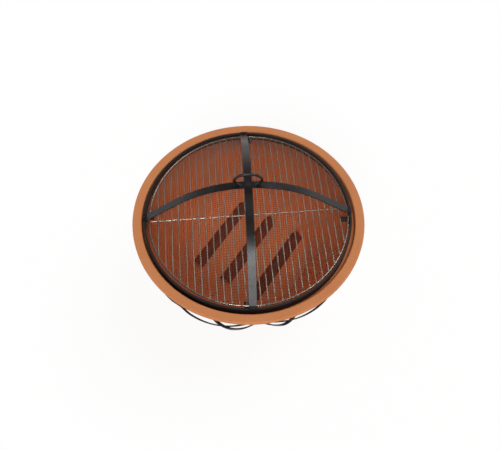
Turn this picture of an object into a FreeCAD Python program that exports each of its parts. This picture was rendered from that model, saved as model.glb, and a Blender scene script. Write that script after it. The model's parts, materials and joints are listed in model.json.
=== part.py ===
import FreeCAD, Part
import math
import os

# Round fire bowl on a flat-bar stand, with a lift-out grill and a lift-off domed spark guard.
# Origin on the ground under the middle of the bowl. +Z up, +Y to the back, +X to the right.

V = FreeCAD.Vector

# ---- driving sizes ----
rim_height = 320.0            # ground to the top of the bowl rim
fit_gap = 0.3                 # loose seat between pieces that lift apart
touch_gap = 0.2               # between pieces that are fastened together
hole_gap = 0.05               # around a rivet or bolt shank, per side

# bowl
rim_radius = 281.0
rim_inner_radius = 258.4
rim_face = 8.0                # upright outer face of the rim
rim_undercut = 10.0
rim_round = 3.0
ledge_depth = 19.0
ledge_outer_radius = 257.4
ledge_inner_radius = 246.5
floor_radius = 157.5
bowl_depth = 175.5
floor_thickness = 29.5
foot_radius = 172.0
inner_bulge = 6.0
outer_bulge = 8.0
foot_round = 5.0

# log rests
log_rest_length = 220.0
log_rest_width = 32.0
log_rest_height = 22.0
log_rest_plate = 3.0
log_rest_pitch = 86.5
log_rest_turn = 54.1          # degrees from +X

# support ring and its tabs
hoop_outer_radius = 251.5
hoop_plate = 3.0
hoop_rise = 2.5               # top of the support ring above the rim plane
guard_shift = -2.0            # support ring and guard sit this far towards +X
tab_width = 13.0
tab_reach = 22.0
tab_plate = 3.0
tab_leg = 13.0
tab_drop = 4.0                # shelf below the rim plane
tab_angles = [-4.7, 86.0, 178.3, 266.7]
tab_rivet_radius = 2.0
tab_rivet_head = 3.6
tab_rivet_head_height = 1.2

# grill
grill_shift_x = 0.5
grill_shift_y = 2.5
grill_turn = 2.1              # degrees
grill_wire = 4.0              # ring wire across
grill_radius = 241.0          # centre line of the ring wire
rod_count = 28
rod_wire = 2.8
rod_pitch = 16.24
cross_wire = 3.2

# guard
guard_plate = 2.5
strap_width = 18.0
flank_angle = 39.0            # slope of the straps near the rim, degrees
strap_apex = 129.0            # top of the upper strap above the rim plane
strap_foot_inner = 243.0
rim_ring_width = 5.0
hem_width = 3.4               # flat edge of the mesh inside the rim ring
mesh_thickness = 1.4
mesh_edge_gap = 0.3           # mesh edge to the inside of the rim ring
handle_wire = 6.0
handle_height = 41.0          # top of the loop above the upper strap
handle_half = 31.0            # half the width between wire centres
handle_foot = 17.0            # half the width at the strap
handle_widest = 0.45          # share of the height at which the loop is widest
handle_corner = 0.28          # share of that height at which it turns in to the strap
rivet_radius = 1.5
rivet_head = 2.8
rivet_head_height = 1.2
crossing_head = 6.0

# stand
stand_turn = 3.2              # degrees from the front to the first bay
bay_count = 4
stand_bar = 4.0               # thickness of the legs and of the two bolted rings
ring_height = 20.0
top_ring_drop = 158.0         # rim plane to the upper edge of the ring that the bowl nests in
base_outer_radius = 148.0
leg_width = 20.0
leg_toe = 16.0
leg_bend = 8.0
leg_heel_bend = 5.0
leg_knee_z = 40.0
middle_ring_drop = 128.0      # the same for the slim ring that the bows and petals stand out from
middle_ring_height = 10.0
middle_ring_plate = 3.0
leg_tip_reach = 8.5           # tip of a leg, beyond the line of the bowl wall
leg_tip_rise = 44.0
loop_plate = 3.0              # thickness of the bows and petals
loop_width = 12.0
loop_end_drop = 5.0           # their ends, below the upper edge of the middle ring
bow_half = 38.0               # degrees either side of a leg
bow_reach = 15.6              # how far a bow stands off the line of the bowl wall
bow_dip = 6.0                 # less than that at its middle, where the leg holds it
bow_rise = 36.0               # middle of a bow above its ends
bow_fullness = 2.6            # how squarely it turns down to its ends
petal_bearings = [-15.2, 14.2]
petal_halves = [13.4, 10.8]   # degrees either side of the middle of a petal
petal_reach = 16.1
petal_rise = 9.0
petal_fullness = 1.7
bow_lean = 65.0               # elevation of the direction across the bar
petal_lean = 50.0
petal_turn = 45.0             # degrees from the middle of a bay to the direction across a petal
bolt_radius = 2.5
bolt_head = 4.5
bolt_head_height = 2.2
base_bolt_z = 13.0


# ---- helpers ----
def spot(radius, degrees, z):
    """A point at a radius, a bearing from +X and a height."""
    a = math.radians(degrees)
    return V(radius * math.cos(a), radius * math.sin(a), z)


def turned(shape, degrees, centre=V(0, 0, 0)):
    copy = shape.copy()
    copy.rotate(centre, V(0, 0, 1), degrees)
    return copy


def revolve(outline, centre_x=0.0):
    """Solid of revolution about the upright axis from edges in the XZ plane."""
    face = Part.Face(Part.Wire(outline))
    solid = face.revolve(V(0, 0, 0), V(0, 0, 1), 360)
    solid.translate(V(centre_x, 0, 0))
    return solid


def line(a, b):
    return Part.LineSegment(a, b).toShape()


def arc(a, middle, b):
    return Part.Arc(a, middle, b).toShape()


def xz(r, z):
    return V(r, 0, z)


def bulged(a, b, bulge):
    """Middle point of an arc from a to b that swells outwards and down by bulge."""
    along = b.sub(a)
    side = V(-along.z, 0, along.x).normalize()
    if side.x < 0:
        side = side.negative()
    return a.add(b).multiply(0.5).add(side.multiply(bulge))


def arc_radius_at(a, middle, b, z):
    """Radius, from the upright axis, of the arc through three points at the height z."""
    circle = arc(a, middle, b).Curve
    drop = z - circle.Center.z
    return circle.Center.x + math.sqrt(circle.Radius ** 2 - drop ** 2)


def flat_ring(outer, plate, z_low, height, centre_x=0.0):
    ring = Part.makeCylinder(outer, height).cut(Part.makeCylinder(outer - plate, height))
    ring.translate(V(centre_x, 0, z_low))
    return ring


def bar_section(centre, along, across, width, plate):
    """Closed rectangle square to the bar, width lying along the direction across."""
    t = V(along).normalize()
    w = V(across).sub(V(t).multiply(V(across).dot(t))).normalize()
    h = t.cross(w)
    corners = []
    for sw, sh in ((-1, -1), (1, -1), (1, 1), (-1, 1)):
        corners.append(centre.add(V(w).multiply(sw * width / 2)).add(V(h).multiply(sh * plate / 2)))
    corners.append(corners[0])
    return Part.makePolygon(corners)


def bent_bar(curve, across_at, width, plate, steps):
    """Flat bar bent along a smooth curve; across_at gives its width direction at a point."""
    first = curve.FirstParameter
    last = curve.LastParameter
    sections = []
    for i in range(steps + 1):
        u = first + (last - first) * i / steps
        centre = curve.value(u)
        along = curve.tangent(u)[0]
        sections.append(bar_section(centre, along, across_at(centre), width, plate))
    return Part.makeLoft(sections, True, False)


def rounded_path(points, bends):
    """Straight runs through the points of the XZ plane, with an arc of each bend radius between them."""
    edges = []
    start = points[0]
    for before, corner, after, bend in zip(points, points[1:], points[2:], bends):
        back = before.sub(corner).normalize()
        ahead = after.sub(corner).normalize()
        half = back.getAngle(ahead) / 2
        reach = bend / math.tan(half)
        enter = corner.add(V(back).multiply(reach))
        leave = corner.add(V(ahead).multiply(reach))
        to_centre = V(back).add(ahead).normalize()
        middle = corner.add(to_centre.multiply(bend / math.sin(half) - bend))
        edges.append(line(start, enter))
        edges.append(arc(enter, middle, leave))
        start = leave
    edges.append(line(start, points[-1]))
    return edges


def swept(edges, section):
    return Part.Wire(edges).makePipeShell([section], True, False)


def rivet(axis_start, axis, length, shank, head, head_height):
    """Shank with a low round head at both ends."""
    body = Part.makeCylinder(shank, length, axis_start, axis)
    back = V(axis).normalize().multiply(-head_height)
    body = body.fuse(Part.makeCylinder(head, head_height, axis_start.add(back), axis))
    far = axis_start.add(V(axis).normalize().multiply(length))
    body = body.fuse(Part.makeCylinder(head, head_height, far, axis))
    return body.removeSplitter()


def save(name, shape):
    shape.exportStep("parts/" + name + ".step")


# ---- bowl ----
inner_top = xz(ledge_inner_radius, rim_height - ledge_depth)
inner_low = xz(floor_radius, rim_height - bowl_depth)
inner_mid = bulged(inner_top, inner_low, inner_bulge)
outer_top = xz(rim_radius - rim_undercut, rim_height - rim_face - rim_undercut)
outer_low = xz(foot_radius, rim_height - bowl_depth - floor_thickness)
outer_mid = bulged(outer_top, outer_low, outer_bulge)
ledge_z = rim_height - ledge_depth
floor_z = rim_height - bowl_depth


def make_bowl():
    corner = rim_round * (1 - math.sqrt(0.5))
    axis_low = xz(0, outer_low.z)
    axis_high = xz(0, floor_z)
    in_edge = xz(rim_inner_radius, rim_height - rim_round)
    in_top = xz(rim_inner_radius + rim_round, rim_height)
    in_mid = xz(rim_inner_radius + corner, rim_height - corner)
    out_top = xz(rim_radius - rim_round, rim_height)
    out_edge = xz(rim_radius, rim_height - rim_round)
    out_mid = xz(rim_radius - corner, rim_height - corner)
    face_low = xz(rim_radius, rim_height - rim_face)
    ledge_out = xz(ledge_outer_radius, ledge_z)
    outline = [
        line(axis_low, axis_high),
        line(axis_high, inner_low),
        arc(inner_low, inner_mid, inner_top),
        line(inner_top, ledge_out),
        line(ledge_out, in_edge),
        arc(in_edge, in_mid, in_top),
        line(in_top, out_top),
        arc(out_top, out_mid, out_edge),
        line(out_edge, face_low),
        line(face_low, outer_top),
        arc(outer_top, outer_mid, outer_low),
        line(outer_low, axis_low),
    ]
    bowl = revolve(outline)
    foot_edges = []
    for edge in bowl.Edges:
        box = edge.BoundBox
        round_foot = abs(box.ZMax - outer_low.z) < 0.01 and abs(box.ZMin - outer_low.z) < 0.01
        if round_foot and abs(box.XMax - foot_radius) < 0.01:
            foot_edges.append(edge)
    return bowl.makeFillet(foot_round, foot_edges)


# ---- log rests ----
def make_log_rest(offset):
    """Folded bar, ridge up, its two lower edges on the bowl floor."""
    half = log_rest_width / 2
    slope = math.hypot(half, log_rest_height)
    side = log_rest_plate * slope / log_rest_height
    down = log_rest_plate * slope / half
    outline = Part.makePolygon([
        V(0, -half, 0),
        V(0, 0, log_rest_height),
        V(0, half, 0),
        V(0, half - side, 0),
        V(0, 0, log_rest_height - down),
        V(0, -half + side, 0),
        V(0, -half, 0),
    ])
    bar = Part.Face(outline).extrude(V(log_rest_length, 0, 0))
    bar.translate(V(-log_rest_length / 2, offset, floor_z))
    return turned(bar, log_rest_turn)


# ---- support ring and tabs ----
hoop_top = rim_height + hoop_rise
hoop_low = ledge_z
hoop_inner_radius = hoop_outer_radius - hoop_plate
hoop_centre = V(guard_shift, 0, 0)
tab_top = rim_height - tab_drop
tab_rivet_z = tab_top - tab_leg * 0.6


def make_tab(angle):
    """Bent strip: upright leg against the ring, flat shelf reaching inwards at its top."""
    back = hoop_inner_radius
    side = -tab_width / 2
    leg = Part.makeBox(tab_plate, tab_width, tab_leg, V(back - tab_plate, side, tab_top - tab_leg))
    shelf = Part.makeBox(tab_reach, tab_width, tab_plate, V(back - tab_reach, side, tab_top - tab_plate))
    inside = Part.makeCylinder(back - hole_gap, rim_height * 2)
    hole_start = V(back - tab_plate * 2, 0, tab_rivet_z)
    hole = Part.makeCylinder(tab_rivet_radius + hole_gap, tab_plate * 4, hole_start, V(1, 0, 0))
    tab = leg.fuse(shelf).removeSplitter().common(inside).cut(hole)
    tab.translate(hoop_centre)
    return turned(tab, angle, hoop_centre)


def tab_rivet_at(angle):
    start = V(hoop_inner_radius - tab_plate - touch_gap, 0, tab_rivet_z)
    length = tab_plate + hoop_plate + 2 * touch_gap
    piece = rivet(start, V(1, 0, 0), length, tab_rivet_radius, tab_rivet_head, tab_rivet_head_height)
    piece.translate(hoop_centre)
    return turned(piece, angle, hoop_centre)


def make_hoop():
    hoop = flat_ring(hoop_outer_radius, hoop_plate, hoop_low, hoop_top - hoop_low, guard_shift)
    for angle in tab_angles:
        drill_start = V(hoop_inner_radius - tab_plate, 0, tab_rivet_z)
        drill = Part.makeCylinder(tab_rivet_radius + hole_gap, hoop_plate * 4, drill_start, V(1, 0, 0))
        drill.translate(hoop_centre)
        hoop = hoop.cut(turned(drill, angle, hoop_centre))
    return hoop


# ---- grill ----
grill_centre = V(grill_shift_x, grill_shift_y, 0)
grill_z = tab_top + fit_gap + grill_wire / 2
cross_z = grill_z - rod_wire / 2 - cross_wire / 2


def make_grill_ring():
    return Part.makeTorus(grill_radius, grill_wire / 2, V(grill_shift_x, grill_shift_y, grill_z))


def make_rod(index, ring):
    x = (index - (rod_count - 1) / 2) * rod_pitch
    half = math.sqrt(grill_radius ** 2 - x ** 2)
    rod = Part.makeCylinder(rod_wire / 2, 2 * half, V(x, -half, grill_z), V(0, 1, 0))
    rod = turned(rod, grill_turn)
    rod.translate(grill_centre)
    return rod.cut(ring)


def make_cross_rod(ring):
    rod = Part.makeCylinder(cross_wire / 2, 2 * grill_radius, V(-grill_radius, 0, cross_z), V(1, 0, 0))
    rod = turned(rod, grill_turn)
    rod.translate(grill_centre)
    return rod.cut(ring)


# ---- guard ----
flank = math.radians(flank_angle)
guard_low = hoop_top + fit_gap
strap_foot_z = guard_low + guard_plate
rim_ring_inner = hoop_outer_radius - rim_ring_width


def dome_line(apex, foot_radius, foot_z):
    """Cap radius and join point of an arc that runs into a straight flank down to the foot."""
    flank_top = foot_z + foot_radius * math.tan(flank)
    cap = (flank_top - apex) / (1 / math.cos(flank) - 1)
    return cap, cap * math.sin(flank), apex - cap * (1 - math.cos(flank))


def make_strap(apex):
    """Arched flat strap along X with flat feet on the rim ring; apex is its top surface."""
    outer_foot = strap_foot_z + guard_plate
    cap, join_x, join_z = dome_line(apex, strap_foot_inner, outer_foot)
    end = hoop_outer_radius - touch_gap
    shift_x = guard_plate * math.tan(flank / 2)
    inner_join_x = (cap - guard_plate) * math.sin(flank)
    inner_join_z = apex - cap + (cap - guard_plate) * math.cos(flank)
    foot_in = strap_foot_inner - shift_x
    low = strap_foot_z
    outline = [
        arc(xz(-join_x, join_z), xz(0, apex), xz(join_x, join_z)),
        line(xz(join_x, join_z), xz(strap_foot_inner, outer_foot)),
        line(xz(strap_foot_inner, outer_foot), xz(end, outer_foot)),
        line(xz(end, outer_foot), xz(end, low)),
        line(xz(end, low), xz(foot_in, low)),
        line(xz(foot_in, low), xz(inner_join_x, inner_join_z)),
        arc(xz(inner_join_x, inner_join_z), xz(0, apex - guard_plate), xz(-inner_join_x, inner_join_z)),
        line(xz(-inner_join_x, inner_join_z), xz(-foot_in, low)),
        line(xz(-foot_in, low), xz(-end, low)),
        line(xz(-end, low), xz(-end, outer_foot)),
        line(xz(-end, outer_foot), xz(-strap_foot_inner, outer_foot)),
        line(xz(-strap_foot_inner, outer_foot), xz(-join_x, join_z)),
    ]
    strap = Part.Face(Part.Wire(outline)).extrude(V(0, strap_width, 0))
    strap.translate(V(0, -strap_width / 2, 0))
    return strap


upper_apex = rim_height + strap_apex
lower_apex = upper_apex - guard_plate - touch_gap
mesh_apex = lower_apex - guard_plate - touch_gap
foot_middle = hoop_outer_radius - rim_ring_width / 2


def mesh_side(drop):
    """Points of one face of the mesh, drop below the underside of the straps, from the top outwards."""
    cap, join_x, join_z = dome_line(lower_apex, strap_foot_inner, strap_foot_z + guard_plate)
    lift = guard_plate + touch_gap + drop
    x = (cap - lift) * math.sin(flank)
    z = lower_apex - cap + (cap - lift) * math.cos(flank)
    half = flank / 2
    middle = xz((cap - lift) * math.sin(half), lower_apex - cap + (cap - lift) * math.cos(half))
    hem_x = rim_ring_inner - mesh_edge_gap - hem_width - drop * math.sin(flank)
    hem_z = z - (hem_x - x) * math.tan(flank)
    return xz(0, lower_apex - lift), middle, xz(x, z), xz(hem_x, hem_z)


def make_mesh():
    top, middle, join, hem = mesh_side(0.0)
    in_top, in_middle, in_join, in_hem = mesh_side(mesh_thickness)
    edge = xz(rim_ring_inner - mesh_edge_gap, hem.z)
    in_edge = xz(rim_ring_inner - mesh_edge_gap, in_hem.z)
    outline = [
        arc(top, middle, join),
        line(join, hem),
        line(hem, edge),
        line(edge, in_edge),
        line(in_edge, in_hem),
        line(in_hem, in_join),
        arc(in_join, in_middle, in_top),
        line(in_top, top),
    ]
    return revolve(outline, guard_shift)


def make_rim_ring():
    """Flat ring that carries the feet of the straps and meets the edge of the mesh."""
    ring = flat_ring(hoop_outer_radius, rim_ring_width, guard_low, guard_plate, guard_shift)
    for step in range(4):
        start = V(foot_middle, 0, guard_low - guard_plate)
        drill = Part.makeCylinder(rivet_radius + hole_gap, guard_plate * 4, start)
        drill.translate(hoop_centre)
        ring = ring.cut(turned(drill, step * 90, hoop_centre))
    return ring


def drilled_strap(apex, degrees):
    strap = make_strap(apex)
    drills = [V(foot_middle, 0, guard_low), V(-foot_middle, 0, guard_low), V(0, 0, apex - guard_plate * 2)]
    for start in drills:
        strap = strap.cut(Part.makeCylinder(rivet_radius + hole_gap, guard_plate * 4, start))
    strap.translate(hoop_centre)
    return turned(strap, degrees, hoop_centre)


def strap_end_rivets():
    pieces = []
    for step in range(4):
        start = V(foot_middle, 0, guard_low + touch_gap)
        length = guard_plate * 2 + touch_gap
        shank = Part.makeCylinder(rivet_radius, length, start)
        head = Part.makeCylinder(rivet_head, rivet_head_height, V(foot_middle, 0, start.z + length))
        piece = shank.fuse(head).removeSplitter()
        piece.translate(hoop_centre)
        pieces.append(turned(piece, step * 90, hoop_centre))
    return Part.makeCompound(pieces)


def crossing_rivet():
    start = V(guard_shift, 0, lower_apex - guard_plate)
    length = guard_plate * 2 + 2 * touch_gap
    shank = Part.makeCylinder(rivet_radius, length, start)
    head = Part.makeCylinder(crossing_head, rivet_head_height, V(guard_shift, 0, start.z + length))
    return shank.fuse(head).removeSplitter()


def make_handle(strap):
    """Upright oval loop of round wire, its two ends standing on the upper strap."""
    start = xz(-handle_foot, upper_apex - guard_plate)
    widest = upper_apex + handle_height * handle_widest
    top = upper_apex + handle_height - handle_wire / 2
    lean = (widest - upper_apex) * handle_corner
    side = handle_half * math.sqrt(0.5)
    shoulder = widest + (top - widest) * math.sqrt(0.5)
    corner = xz(-handle_half + handle_wire, upper_apex + lean)
    left = [start, corner, xz(-handle_half, widest), xz(-side, shoulder)]
    right = [xz(-point.x, point.z) for point in reversed(left)]
    curve = Part.BSplineCurve()
    curve.interpolate(left + [xz(0, top)] + right)
    along = curve.tangent(curve.FirstParameter)[0]
    section = Part.Wire(Part.Circle(start, along, handle_wire / 2).toShape())
    loop = swept([curve.toShape()], section)
    loop.translate(hoop_centre)
    loop = loop.cut(strap)
    return max(loop.Solids, key=lambda s: s.Volume)


# ---- stand ----
def wall_radius(z):
    """Outside of the bowl wall at a height."""
    return arc_radius_at(outer_top, outer_mid, outer_low, z)


def beyond_wall(reach, rise):
    """Radius that follows the slope of the bowl wall up from the ends of the bows and petals."""
    return loop_foot_radius + wall_radius(loop_end_z + rise) - wall_radius(loop_end_z) + reach


top_ring_z = rim_height - top_ring_drop
ring_inner_radius = wall_radius(top_ring_z) + fit_gap
ring_outer_radius = ring_inner_radius + stand_bar
ring_low = top_ring_z - ring_height
bay_angle = 360.0 / bay_count
first_bay = -90.0 + stand_turn
leg_angles = [first_bay + bay_angle * (i + 0.5) for i in range(bay_count)]
top_bolt_z = top_ring_z - ring_height / 2
middle_ring_z = rim_height - middle_ring_drop
middle_ring_outer = wall_radius(middle_ring_z) + fit_gap + middle_ring_plate
loop_end_z = middle_ring_z - loop_end_drop
loop_foot_radius = middle_ring_outer + loop_plate / 2 + touch_gap
loop_steps = 8                # points along each half of a bow or petal
dip_power = 4
leg_slant = 1.3               # how much wider a leaning leg is than an upright one


def cross_drill(z, angle):
    """Drill for a bolt through the stand, lying along a bearing at a height."""
    tool = Part.makeCylinder(bolt_radius + hole_gap, rim_radius, V(0, 0, z), V(1, 0, 0))
    return turned(tool, angle)


def make_leg(angle):
    """Toe on the ground, upright against the two lower rings, leaning out past the middle ring."""
    half = stand_bar / 2
    low_line = base_outer_radius + half
    high_line = ring_outer_radius + half
    ring_low_z = middle_ring_z - middle_ring_height
    bow_inside = beyond_wall(bow_reach - bow_dip, bow_rise) - loop_plate / 2 - touch_gap
    points = [
        xz(low_line + leg_toe, half),
        xz(low_line, half),
        xz(low_line, leg_knee_z),
        xz(high_line, ring_low - leg_bend / 2),
        xz(high_line, top_ring_z),
        xz(middle_ring_outer + half * leg_slant, ring_low_z),
        xz(bow_inside - half, loop_end_z + bow_rise),
        xz(beyond_wall(leg_tip_reach, leg_tip_rise), loop_end_z + leg_tip_rise),
    ]
    bends = [leg_heel_bend] + [leg_bend] * 5
    path = rounded_path(points, bends)
    section = bar_section(points[0], V(-1, 0, 0), V(0, 1, 0), leg_width, stand_bar)
    leg = turned(swept(path, section), angle)
    return leg.cut(cross_drill(top_bolt_z, angle)).cut(cross_drill(base_bolt_z, angle))


def make_stand_ring(outer, z_low, bolt_z):
    ring = flat_ring(outer, stand_bar, z_low, ring_height)
    for angle in leg_angles:
        ring = ring.cut(cross_drill(bolt_z, angle))
    return ring


def stand_bolts(outer, z):
    """One bolt at each leg, its head outside the leg and its nut inside the ring."""
    start = V(outer - stand_bar - touch_gap, 0, z)
    length = 2 * stand_bar + 2 * touch_gap
    bolt = rivet(start, V(1, 0, 0), length, bolt_radius, bolt_head, bolt_head_height)
    return Part.makeCompound([turned(bolt, angle) for angle in leg_angles])


def lean_direction(bearing, lean):
    """Direction across a bar: outwards along a bearing, raised by the lean angle."""
    a = math.radians(lean)
    return spot(math.cos(a), bearing, math.sin(a))


def make_loop(bearing, half_angle, reach, dip, rise, fullness, across, cutters):
    """Bar standing out from the middle ring in a bow, its two ends on the ring."""
    points = []
    for step in range(-loop_steps, loop_steps + 1):
        share = abs(step) / loop_steps
        up = rise * (1 - share ** (fullness + 1))
        out = reach * (1 - share ** fullness) - dip * (1 - share) ** dip_power
        points.append(spot(beyond_wall(out, up), bearing + half_angle * step / loop_steps, loop_end_z + up))
    curve = Part.BSplineCurve()
    curve.interpolate(points)
    loop = bent_bar(curve, lambda at: across, loop_width, loop_plate, loop_steps * 4)
    for cutter in cutters:
        loop = loop.cut(cutter)
    return max(loop.Solids, key=lambda s: s.Volume)


def make_bow(angle, cutters):
    across = lean_direction(angle, bow_lean)
    return make_loop(angle, bow_half, bow_reach, bow_dip, bow_rise, bow_fullness, across, cutters)


def make_petal(bay, side, cutters):
    centre = first_bay + bay_angle * bay
    across = lean_direction(centre + (side * 2 - 1) * petal_turn, petal_lean)
    bearing = centre + petal_bearings[side]
    half = petal_halves[side]
    return make_loop(bearing, half, petal_reach, 0, petal_rise, petal_fullness, across, cutters)


def make_middle_ring():
    low = middle_ring_z - middle_ring_height
    return flat_ring(middle_ring_outer, middle_ring_plate, low, middle_ring_height)


def main():
    os.makedirs("parts", exist_ok=True)
    save("bowl", make_bowl())
    for i in range(3):
        save("log_rest_%d" % (i + 1), make_log_rest((i - 1) * log_rest_pitch))

    save("support_ring", make_hoop())
    for i, angle in enumerate(tab_angles):
        save("grill_tab_%d" % (i + 1), make_tab(angle))
    save("tab_rivets", Part.makeCompound([tab_rivet_at(angle) for angle in tab_angles]))

    ring = make_grill_ring()
    save("grill_ring", ring)
    save("grill_rods", Part.makeCompound([make_rod(i, ring) for i in range(rod_count)]))
    save("grill_cross_rod", make_cross_rod(ring))

    save("guard_rim_ring", make_rim_ring())
    upper = drilled_strap(upper_apex, 0)
    save("guard_strap_upper", upper)
    save("guard_strap_lower", drilled_strap(lower_apex, 90))
    save("guard_mesh", make_mesh())
    save("guard_handle", make_handle(upper))
    save("strap_end_rivets", strap_end_rivets())
    save("strap_crossing_rivet", crossing_rivet())

    legs = [make_leg(angle) for angle in leg_angles]
    save("stand_top_ring", make_stand_ring(ring_outer_radius, ring_low, top_bolt_z))
    save("stand_base_ring", make_stand_ring(base_outer_radius, 0, base_bolt_z))
    save("stand_top_bolts", stand_bolts(ring_outer_radius, top_bolt_z))
    save("stand_base_bolts", stand_bolts(base_outer_radius, base_bolt_z))
    for i, leg in enumerate(legs):
        save("stand_leg_%d" % (i + 1), leg)
    middle_ring = make_middle_ring()
    save("stand_middle_ring", middle_ring)
    for i, angle in enumerate(leg_angles):
        save("stand_bow_%d" % (i + 1), make_bow(angle, [legs[i], middle_ring]))
    for bay in range(bay_count):
        save("stand_petal_%d_left" % (bay + 1), make_petal(bay, 0, [middle_ring]))
        save("stand_petal_%d_right" % (bay + 1), make_petal(bay, 1, [middle_ring]))


main()
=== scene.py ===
import json
import math

import bpy
import numpy as np
from mathutils import Matrix, Vector


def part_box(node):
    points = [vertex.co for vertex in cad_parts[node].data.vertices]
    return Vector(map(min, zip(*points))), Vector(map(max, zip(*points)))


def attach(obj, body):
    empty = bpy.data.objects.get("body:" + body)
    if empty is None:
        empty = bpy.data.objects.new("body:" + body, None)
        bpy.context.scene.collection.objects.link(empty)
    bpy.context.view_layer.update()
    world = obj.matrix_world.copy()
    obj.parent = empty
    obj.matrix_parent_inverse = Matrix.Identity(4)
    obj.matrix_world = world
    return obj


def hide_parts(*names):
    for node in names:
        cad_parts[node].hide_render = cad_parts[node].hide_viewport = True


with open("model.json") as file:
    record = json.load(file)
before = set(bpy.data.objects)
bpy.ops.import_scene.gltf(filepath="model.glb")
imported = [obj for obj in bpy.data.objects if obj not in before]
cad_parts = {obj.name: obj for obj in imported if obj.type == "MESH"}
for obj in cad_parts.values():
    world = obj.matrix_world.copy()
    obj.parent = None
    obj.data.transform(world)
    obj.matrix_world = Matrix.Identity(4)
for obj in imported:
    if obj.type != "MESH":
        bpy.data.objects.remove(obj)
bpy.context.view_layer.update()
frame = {"nodes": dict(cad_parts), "record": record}

nodes = frame["nodes"]


# ---------------------------------------------------------------- shader maths
class Value:
    """A number on its way through a shader, with ordinary arithmetic."""

    def __init__(self, paint, socket):
        self.paint = paint
        self.socket = socket

    def __add__(self, other):
        return self.paint.math("ADD", self, other)

    def __radd__(self, other):
        return self.paint.math("ADD", other, self)

    def __sub__(self, other):
        return self.paint.math("SUBTRACT", self, other)

    def __rsub__(self, other):
        return self.paint.math("SUBTRACT", other, self)

    def __mul__(self, other):
        return self.paint.math("MULTIPLY", self, other)

    def __rmul__(self, other):
        return self.paint.math("MULTIPLY", other, self)

    def __truediv__(self, other):
        return self.paint.math("DIVIDE", self, other)

    def __rtruediv__(self, other):
        return self.paint.math("DIVIDE", other, self)

    def root(self):
        return self.paint.math("SQRT", self)

    def clamped(self):
        return self.paint.math("ADD", self, 0.0, clamp=True)

    def step(self, low, high):
        """Smooth 0 to 1 between low and high."""
        settings = {"interpolation_type": "SMOOTHSTEP"}
        ramp = self.paint.node("ShaderNodeMapRange", settings, {0: self, 1: low, 2: high})
        return Value(self.paint, ramp.outputs[0])


class Paint:
    """One material or world tree: makes nodes and links them."""

    def __init__(self, tree):
        self.tree = tree

    def node(self, kind, settings=None, sockets=None):
        """New node; sockets are named or numbered, and take a number, a colour, a Value or a socket."""
        made = self.tree.nodes.new(kind)
        for name, setting in (settings or {}).items():
            setattr(made, name, setting)
        for place, item in (sockets or {}).items():
            self.feed(made.inputs[place], item)
        return made

    def feed(self, socket, item):
        if isinstance(item, Value):
            self.tree.links.new(item.socket, socket)
        elif isinstance(item, bpy.types.NodeSocket):
            self.tree.links.new(item, socket)
        else:
            socket.default_value = item

    def math(self, operation, *terms, clamp=False):
        settings = {"operation": operation, "use_clamp": clamp}
        made = self.node("ShaderNodeMath", settings, dict(enumerate(terms)))
        return Value(self, made.outputs[0])

    def place(self):
        """Position on the object, in metres."""
        return self.node("ShaderNodeTexCoord").outputs["Object"]

    def parts(self, vector):
        split = self.node("ShaderNodeSeparateXYZ", None, {"Vector": vector})
        return [Value(self, out) for out in split.outputs]

    def noise(self, scale, detail=2.0, roughness=0.5):
        sockets = {"Scale": scale, "Detail": detail, "Roughness": roughness, "Vector": self.place()}
        return Value(self, self.node("ShaderNodeTexNoise", None, sockets).outputs["Fac"])

    def mix(self, factor, a, b):
        """Colour between a and b."""
        made = self.node("ShaderNodeMix", {"data_type": "RGBA"}, {0: factor, 6: a, 7: b})
        return made.outputs[2]

    def bump(self, height, distance, strength):
        sockets = {"Strength": strength, "Distance": distance, "Height": height}
        return self.node("ShaderNodeBump", None, sockets).outputs[0]


def linear(r, g, b):
    """Shader colour from an 8-bit display colour."""
    out = []
    for part in (r, g, b):
        c = part / 255
        out.append(c / 12.92 if c <= 0.04045 else ((c + 0.055) / 1.055) ** 2.4)
    return (*out, 1.0)


def material(name, **constants):
    """New material; returns it, its Paint and its main shader."""
    made = bpy.data.materials.new(name)
    made.use_nodes = True
    shader = made.node_tree.nodes["Principled BSDF"]
    for socket, item in constants.items():
        shader.inputs[socket.replace("_", " ")].default_value = item
    return made, Paint(made.node_tree), shader


def set_material(item, made):
    item.data.materials.clear()
    item.data.materials.append(made)


# ---------------------------------------------------------------- materials
wall_slope = 0.569            # radius gained per unit of height on the inside of the bowl
wall_start = 0.0838           # its radius at ground level, had it gone on down
wall_fade = 0.010             # the painted inner light is gone this far outside that line
floor_fade = (0.118, 0.142)   # heights between which it fades out under the bowl
ledge_fade = (0.246, 0.262)   # radii between which it fades out at the rim


def clay_material():
    """Unglazed terracotta, fine even grain; the inside is painted brighter and redder, painted light
    standing in for the light and warm bounce inside the bowl.
    """
    made, paint, shader = material("terracotta", Specular_IOR_Level=0.28)
    x, y, z = paint.parts(paint.place())
    grain = paint.noise(900.0, 3.0, 0.6)
    cloud = paint.noise(14.0, 3.0, 0.5)
    light = paint.mix(grain.step(0.3, 0.7), linear(204, 126, 75), linear(220, 146, 95))
    deep = linear(178, 104, 62)
    outside = paint.mix((cloud - 0.35).clamped() * 0.6, light, deep)
    radius = (x * x + y * y).root()
    inner_wall = z * wall_slope + wall_start
    within = 1.0 - (radius - inner_wall).step(0.0, wall_fade)
    inside = (1.0 - radius.step(*ledge_fade)) * z.step(*floor_fade) * within
    # Painted light: the inside colour is brighter and more saturated than the outside, standing in for the
    # light and warm bounce inside the bowl; the inside mask limits it to the bowl's inner wall.
    painted_inner_light = paint.mix(grain.step(0.3, 0.7), linear(222, 120, 70), linear(238, 140, 86))
    colour = paint.mix(inside.clamped(), outside, painted_inner_light)
    paint.feed(shader.inputs["Base Color"], colour)
    paint.feed(shader.inputs["Roughness"], 0.62 + grain * 0.2)
    pores = paint.noise(420.0, 4.0, 0.65)
    paint.feed(shader.inputs["Normal"], paint.bump(pores + grain * 0.4, 0.0006, 0.35))
    return made


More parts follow.
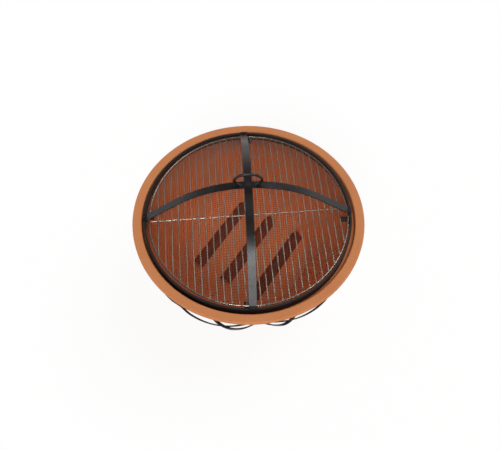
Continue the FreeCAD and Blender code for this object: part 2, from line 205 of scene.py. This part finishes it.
def black_steel(name, colour, roughness, grain_scale=1400.0, relief=0.00012):
    """Powder-coated steel with the coat's fine orange peel."""
    made, paint, shader = material(name, Specular_IOR_Level=0.5)
    speck = paint.noise(grain_scale, 2.0, 0.5)
    dust = paint.noise(30.0, 4.0, 0.6)
    lighter = tuple(min(1.0, c * 1.6 + 0.006) for c in colour[:3]) + (1.0,)
    paint.feed(shader.inputs["Base Color"], paint.mix(dust.step(0.4, 0.75) * 0.6, colour, lighter))
    paint.feed(shader.inputs["Roughness"], roughness + (dust - 0.5) * 0.16)
    paint.feed(shader.inputs["Normal"], paint.bump(speck, relief, 0.4))
    return made


def chrome_material():
    made, paint, shader = material("chrome_wire", Metallic=1.0)
    smear = paint.noise(60.0, 3.0, 0.6)
    paint.feed(shader.inputs["Base Color"], paint.mix(smear, linear(224, 214, 198), linear(202, 190, 172)))
    paint.feed(shader.inputs["Roughness"], 0.16 + smear * 0.16)
    return made


def log_rest_material():
    """Dark brown steel with a lighter rust bloom."""
    made, paint, shader = material("browned_steel", Specular_IOR_Level=0.3)
    bloom = paint.noise(45.0, 5.0, 0.65)
    fine = paint.noise(700.0, 3.0, 0.6)
    dark = paint.mix(fine, linear(98, 38, 16), linear(114, 48, 22))
    paint.feed(shader.inputs["Base Color"], paint.mix(bloom.step(0.35, 0.7), dark, linear(132, 60, 30)))
    paint.feed(shader.inputs["Roughness"], 0.55 + bloom * 0.25)
    paint.feed(shader.inputs["Normal"], paint.bump(fine, 0.0003, 0.4))
    return made


clay = clay_material()
stand_steel = black_steel("stand_black", linear(24, 24, 24), 0.34)
guard_steel = black_steel("guard_black", linear(20, 17, 17), 0.26)
ring_steel = black_steel("ring_black", linear(14, 9, 7), 0.5)
fastener_steel = black_steel("fastener_black", linear(28, 26, 26), 0.3)
mesh_steel = black_steel("mesh_black", linear(58, 38, 26), 0.5, 900.0, 0.00004)
chrome = chrome_material()
browned = log_rest_material()

finish_of_slot = {
    "bowl_clay": clay,
    "log_rest_steel": browned,
    "ring_steel": ring_steel,
    "grill_chrome": chrome,
    "guard_steel": guard_steel,
    "mesh_wire": mesh_steel,
    "stand_steel": stand_steel,
    "fastener_steel": fastener_steel,
}
for entry in frame["record"]["subparts"]:
    set_material(nodes[entry["node"]], finish_of_slot[entry["material_slot"]])
set_material(nodes["guard_rim_ring"], ring_steel)   # as dark as the ring it stands on


# ---------------------------------------------------------------- woven guard mesh
mesh_pitch = 0.005
mesh_wire = 0.0007            # across
mesh_sides = 5
points_per_pitch = 2
mesh_low, mesh_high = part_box("guard_mesh")
mesh_centre = (mesh_low + mesh_high) / 2
mesh_shell = 0.0014
hem_width = 0.0034            # flat edge inside the rim ring
flank_angle = math.radians(39)
wire_end_gap = 0.0006         # ends of the wires inside the edge of the shell
shortest_wire_gap = 0.004     # no wire runs closer to the edge than this
shell_radius = (mesh_high.x - mesh_low.x) / 2
dome_edge = shell_radius - wire_end_gap


def dome_shape():
    """Radius and centre height of the dome's round cap, foot radius and foot height of its flank."""
    hem_radius = shell_radius - hem_width - mesh_shell * math.sin(flank_angle) / 2
    hem_z = mesh_low.z + mesh_shell * math.cos(flank_angle) / 2
    apex = mesh_high.z - mesh_shell / 2
    flank_top = hem_z + hem_radius * math.tan(flank_angle)
    cap = (flank_top - apex) / (1 / math.cos(flank_angle) - 1)
    return cap, apex - cap, hem_radius, hem_z


cap_radius, cap_centre_z, hem_radius, hem_z = dome_shape()
cap_join = cap_radius * math.sin(flank_angle)


def dome_height(radius):
    cap = cap_centre_z + np.sqrt(np.maximum(cap_radius ** 2 - radius ** 2, 0))
    flank = hem_z + (hem_radius - radius) * math.tan(flank_angle)
    return np.where(radius < cap_join, cap, np.maximum(flank, hem_z))


def woven_wire(offset, index, along_x):
    """Vertices and faces of one wire of the cloth, at an offset across it."""
    half = math.sqrt(dome_edge ** 2 - offset ** 2)
    count = max(2, int(2 * half / mesh_pitch * points_per_pitch))
    t = np.linspace(-half, half, count + 1)
    radius = np.hypot(t, offset)
    phase = np.pi * (t / mesh_pitch + index + (0 if along_x else 1))
    weave = np.cos(phase) * mesh_wire * 0.5
    height = dome_height(radius) + weave
    side = np.full_like(t, offset)
    line = np.stack([t, side, height] if along_x else [side, t, height], axis=1)
    line[:, 0] += mesh_centre.x
    line[:, 1] += mesh_centre.y
    ahead = np.gradient(line, axis=0)
    ahead /= np.linalg.norm(ahead, axis=1)[:, None]
    across = np.cross(ahead, [0.0, 0.0, 1.0])
    across /= np.linalg.norm(across, axis=1)[:, None]
    up = np.cross(across, ahead)
    turns = np.arange(mesh_sides) * 2 * np.pi / mesh_sides
    ring = np.cos(turns)[None, :, None] * across[:, None, :] + np.sin(turns)[None, :, None] * up[:, None, :]
    verts = (line[:, None, :] + ring * mesh_wire / 2).reshape(-1, 3)
    row = np.arange(len(t) - 1)[:, None] * mesh_sides
    k = np.arange(mesh_sides)[None, :]
    nxt = (k + 1) % mesh_sides
    quads = np.stack([row + k, row + nxt, row + mesh_sides + nxt, row + mesh_sides + k], axis=2)
    return verts, quads.reshape(-1, 4)


def mesh_object(name, verts, quads):
    data = bpy.data.meshes.new(name)
    data.vertices.add(len(verts))
    data.vertices.foreach_set("co", np.asarray(verts, np.float32).ravel())
    data.loops.add(quads.size)
    data.loops.foreach_set("vertex_index", np.asarray(quads, np.int32).ravel())
    data.polygons.add(len(quads))
    data.polygons.foreach_set("loop_start", np.arange(len(quads), dtype=np.int32) * 4)
    data.update(calc_edges=True)
    data.validate()
    data.polygons.foreach_set("use_smooth", np.ones(len(data.polygons), dtype=bool))
    made = bpy.data.objects.new(name, data)
    bpy.context.scene.collection.objects.link(made)
    return made


def woven_guard():
    verts, quads, start = [], [], 0
    reach = int(dome_edge / mesh_pitch)
    for along_x in (True, False):
        for index in range(-reach, reach + 1):
            if abs(index * mesh_pitch) > dome_edge - shortest_wire_gap:
                continue
            v, q = woven_wire(index * mesh_pitch, index, along_x)
            verts.append(v)
            quads.append(q + start)
            start += len(v)
    return mesh_object("guard_wire_cloth", np.concatenate(verts), np.concatenate(quads))


guard_cloth = woven_guard()
set_material(guard_cloth, mesh_steel)
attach(guard_cloth, "guard")
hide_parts("guard_mesh")


# ---------------------------------------------------------------- floor, light, camera
floor_half = 6.0              # metres from the middle to a side


def make_floor():
    size = floor_half
    data = bpy.data.meshes.new("floor")
    corners = [(-size, -size, 0), (size, -size, 0), (size, size, 0), (-size, size, 0)]
    data.from_pydata(corners, [], [(0, 1, 2, 3)])
    floor = bpy.data.objects.new("floor", data)
    bpy.context.scene.collection.objects.link(floor)
    matt = {"Roughness": 0.9, "Specular_IOR_Level": 0.0, "Emission_Strength": 1.0}
    made, paint, shader = material("white_floor", **matt)
    seen = paint.node("ShaderNodeLightPath").outputs["Is Camera Ray"]
    paint.feed(shader.inputs["Base Color"], paint.mix(seen, (0.62, 0.62, 0.62, 1), (0.145, 0.152, 0.168, 1)))
    paint.feed(shader.inputs["Emission Color"], paint.mix(seen, (0, 0, 0, 1), (0.875, 0.868, 0.853, 1)))
    set_material(floor, made)


def make_world():
    world = bpy.data.worlds.new("studio")
    bpy.context.scene.world = world
    world.use_nodes = True
    paint = Paint(world.node_tree)
    background = world.node_tree.nodes["Background"]
    x, y, z = paint.parts(paint.node("ShaderNodeTexCoord").outputs["Generated"])
    sky = paint.mix(z.step(0.1, 0.8), (1.12, 1.12, 1.14, 1), (0.26, 0.26, 0.27, 1))
    paint.feed(background.inputs["Color"], sky)
    background.inputs["Strength"].default_value = 0.75


def make_sun(name, bearing, elevation, strength, softness):
    """Sun shining from a bearing (degrees from +X) and elevation."""
    lamp = bpy.data.lights.new(name, "SUN")
    lamp.energy = strength
    lamp.angle = math.radians(softness)
    made = bpy.data.objects.new(name, lamp)
    a, e = math.radians(bearing), math.radians(elevation)
    source = Vector((math.cos(a) * math.cos(e), math.sin(a) * math.cos(e), math.sin(e)))
    made.rotation_euler = source.to_track_quat("Z", "Y").to_euler()
    bpy.context.scene.collection.objects.link(made)


eye = (-0.04647, -0.79746, 1.59581)
eye_turn = -3.6               # degrees about the upright axis
eye_tilt = 31.12              # degrees up from straight down
eye_roll = 0.8974
focal_length = 44.64
sensor_width = 36.0


def make_camera():
    lens = bpy.data.cameras.new("view")
    lens.lens = focal_length
    lens.sensor_width = sensor_width
    lens.sensor_fit = "HORIZONTAL"
    made = bpy.data.objects.new("view", lens)
    turn = Matrix.Rotation(math.radians(eye_turn), 4, "Z")
    tilt = Matrix.Rotation(math.radians(eye_tilt), 4, "X")
    roll = Matrix.Rotation(math.radians(eye_roll), 4, "Z")
    made.matrix_world = Matrix.Translation(eye) @ turn @ tilt @ roll
    bpy.context.scene.collection.objects.link(made)
    bpy.context.scene.camera = made


make_floor()
make_world()
make_sun("front_light", -100.0, 46.0, 1.35, 26.0)
make_sun("back_light", 25.0, 60.0, 0.75, 35.0)
make_camera()
bpy.context.scene.view_settings.view_transform = "Standard"
